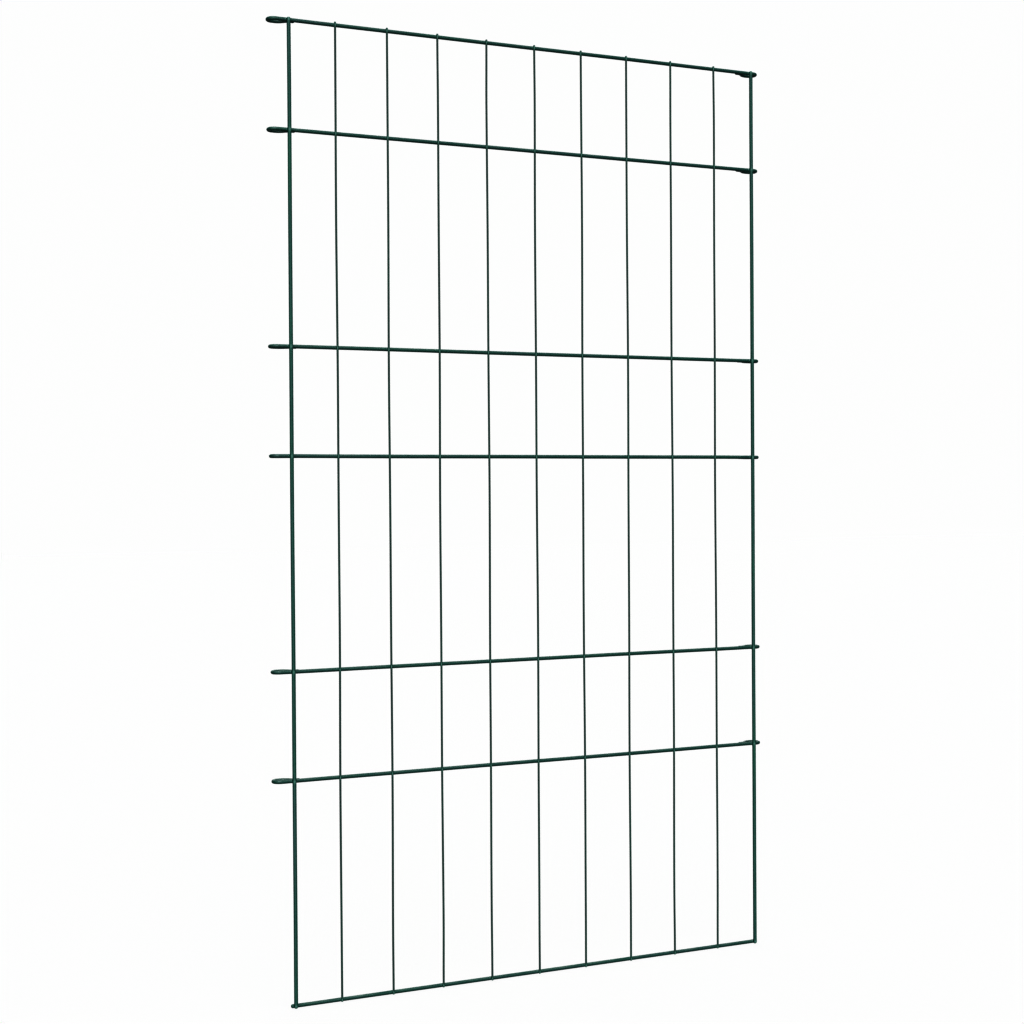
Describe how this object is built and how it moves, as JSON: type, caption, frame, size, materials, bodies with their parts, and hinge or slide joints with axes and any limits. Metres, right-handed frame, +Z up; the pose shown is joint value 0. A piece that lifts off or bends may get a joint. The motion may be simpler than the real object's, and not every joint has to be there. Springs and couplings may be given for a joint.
{
  "type": "welded wire mesh panel",
  "caption": "Coated welded wire mesh panel for a livestock pen or gate opening, with bent wire eyelets at both ends of its rails that slip over ground stakes.",
  "frame": {"origin": "centre of the overall box at ground level, where the lower ends of the vertical wires and the bottom rail stand", "axes": "+X along the panel from the left eyelets to the right ones, +Y from the vertical wires' side to the eyelets' side, +Z up"},
  "size_m": [0.5998, 0.0193, 1.0048],
  "materials": {
    "coated_wire": "semi-gloss moss green coating over steel wire",
    "coated_weld": "semi-gloss moss green coating, drawn into small fillets round the welds"
  },
  "bodies": {
    "root": {"upright_left": "coated_wire", "upright_right": "coated_wire", "infill_wire_1": "coated_wire", "infill_wire_2": "coated_wire", "infill_wire_3": "coated_wire", "infill_wire_4": "coated_wire", "infill_wire_5": "coated_wire", "infill_wire_6": "coated_wire", "infill_wire_7": "coated_wire", "infill_wire_8": "coated_wire", "infill_wire_9": "coated_wire", "rail_1": "coated_wire", "rail_2": "coated_wire", "rail_3": "coated_wire", "rail_4": "coated_wire", "rail_5": "coated_wire", "rail_6": "coated_wire", "bottom_rail": "coated_wire", "welds_rail_1": "coated_weld", "welds_rail_2": "coated_weld", "welds_rail_3": "coated_weld", "welds_rail_4": "coated_weld", "welds_rail_5": "coated_weld", "welds_rail_6": "coated_weld", "welds_bottom_rail": "coated_weld", "eyelet_welds_left": "coated_weld", "eyelet_welds_right": "coated_weld"}
  },
  "joints": []
}
